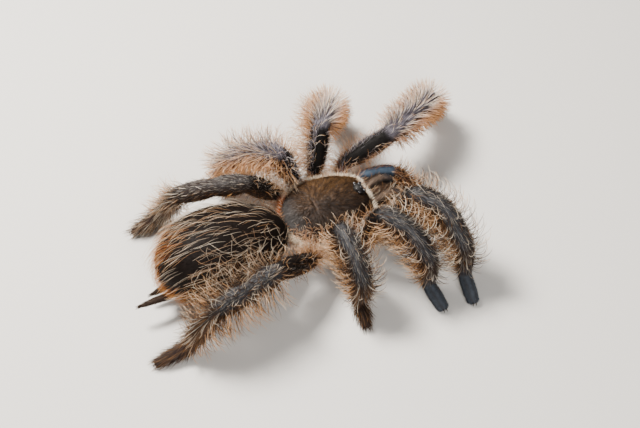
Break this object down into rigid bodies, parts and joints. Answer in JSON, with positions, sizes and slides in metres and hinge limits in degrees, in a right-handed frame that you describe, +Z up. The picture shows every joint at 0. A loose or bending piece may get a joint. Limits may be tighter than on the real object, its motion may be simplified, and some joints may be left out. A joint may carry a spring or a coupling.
{
  "type": "curly-haired tarantula",
  "caption": "Life-size curly-haired tarantula standing still, knees drawn up, with a black furry abdomen, bronze back shield and long tan curls on its legs.",
  "frame": {"origin": "on the floor, under the middle of the whole animal", "axes": "+X is where the animal faces, +Y is its left side, +Z is up"},
  "size_m": [0.1116, 0.0834, 0.0265],
  "materials": {
    "shield": "bronze-brown horny shield with a short golden down and a pale fringe",
    "black_velvet": "black velvet coat with long pale curls over it",
    "grey_brown": "grey-brown coat with tan and cream curls",
    "slate_foot": "short dark slate-grey coat, velvety under the foot",
    "pale_jaw": "pale tan coat over a grey-brown jaw",
    "horn": "black polished horn",
    "pink_skin": "soft pinkish-brown skin",
    "eye": "glossy dark eye"
  },
  "bodies": {
    "root": {"carapace": "shield", "eye_tubercle": "black_velvet", "eye_left_front_middle": "eye", "eye_right_front_middle": "eye", "eye_left_front_side": "eye", "eye_right_front_side": "eye", "eye_left_back_side": "eye", "eye_right_back_side": "eye", "eye_left_back_middle": "eye", "eye_right_back_middle": "eye", "sternum": "black_velvet", "pedicel": "pink_skin", "abdomen": "black_velvet", "spinneret_right_long": "black_velvet", "spinneret_left_long": "black_velvet", "spinneret_right_short": "black_velvet", "spinneret_left_short": "black_velvet", "chelicera_left": "pale_jaw", "fang_left": "horn", "chelicera_right": "pale_jaw", "fang_right": "horn", "leg_left_1_coxa": "black_velvet", "leg_left_1_femur": "black_velvet", "leg_left_1_tibia": "grey_brown", "leg_left_1_foot": "slate_foot", "leg_left_2_coxa": "black_velvet", "leg_left_2_femur": "black_velvet", "leg_left_2_tibia": "grey_brown", "leg_left_2_foot": "slate_foot", "leg_left_3_coxa": "black_velvet", "leg_left_3_femur": "black_velvet", "leg_left_3_tibia": "grey_brown", "leg_left_3_foot": "slate_foot", "leg_left_4_coxa": "black_velvet", "leg_left_4_femur": "black_velvet", "leg_left_4_tibia": "grey_brown", "leg_left_4_foot": "slate_foot", "leg_right_1_coxa": "black_velvet", "leg_right_1_femur": "black_velvet", "leg_right_1_tibia": "grey_brown", "leg_right_1_foot": "slate_foot", "leg_right_2_coxa": "black_velvet", "leg_right_2_femur": "black_velvet", "leg_right_2_tibia": "grey_brown", "leg_right_2_foot": "slate_foot", "leg_right_3_coxa": "black_velvet", "leg_right_3_femur": "black_velvet", "leg_right_3_tibia": "grey_brown", "leg_right_3_foot": "slate_foot", "leg_right_4_coxa": "black_velvet", "leg_right_4_femur": "black_velvet", "leg_right_4_tibia": "grey_brown", "leg_right_4_foot": "slate_foot", "palp_left_coxa": "black_velvet", "palp_left_femur": "grey_brown", "palp_left_tibia": "grey_brown", "palp_right_coxa": "black_velvet", "palp_right_femur": "grey_brown", "palp_right_tibia": "grey_brown"}
  },
  "joints": []
}
